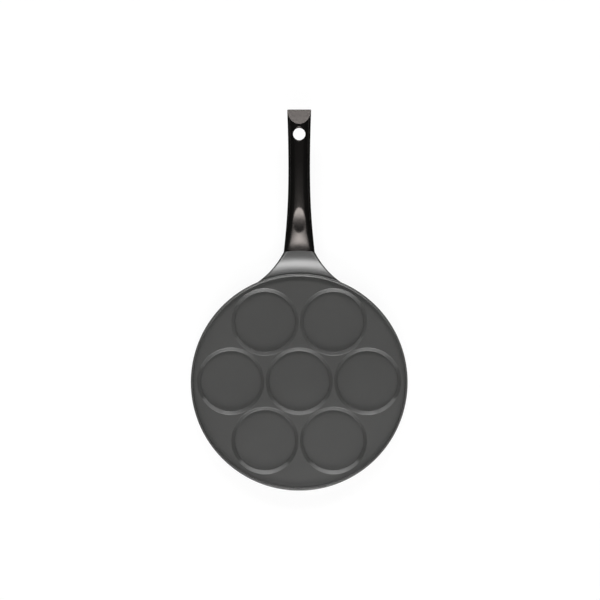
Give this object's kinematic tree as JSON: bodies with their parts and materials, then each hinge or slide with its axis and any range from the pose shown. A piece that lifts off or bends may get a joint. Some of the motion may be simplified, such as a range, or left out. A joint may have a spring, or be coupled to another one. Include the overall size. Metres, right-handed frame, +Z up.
{
  "type": "pancake pan",
  "caption": "Round cast pan with shallow wells for small pancakes, a low rim, and a curved handle with a thumb rest and a hanging hole.",
  "frame": {"origin": "centre of the flat base, on the surface that the pan stands on", "axes": "+Z up through the pan's axis, +Y along the handle from the pan to the tip, +X to the right when the handle points away from the user"},
  "size_m": [0.26, 0.4527, 0.053],
  "materials": {
    "nonstick_coating": "dark grey non-stick coating on cast aluminium, satin",
    "black_phenolic": "black moulded phenolic, satin",
    "stainless_steel": "plain bright steel"
  },
  "bodies": {
    "root": {"pan_body": "nonstick_coating", "handle": "black_phenolic", "handle_screw": "stainless_steel", "spring_washer": "stainless_steel", "flat_washer": "stainless_steel"}
  },
  "joints": []
}
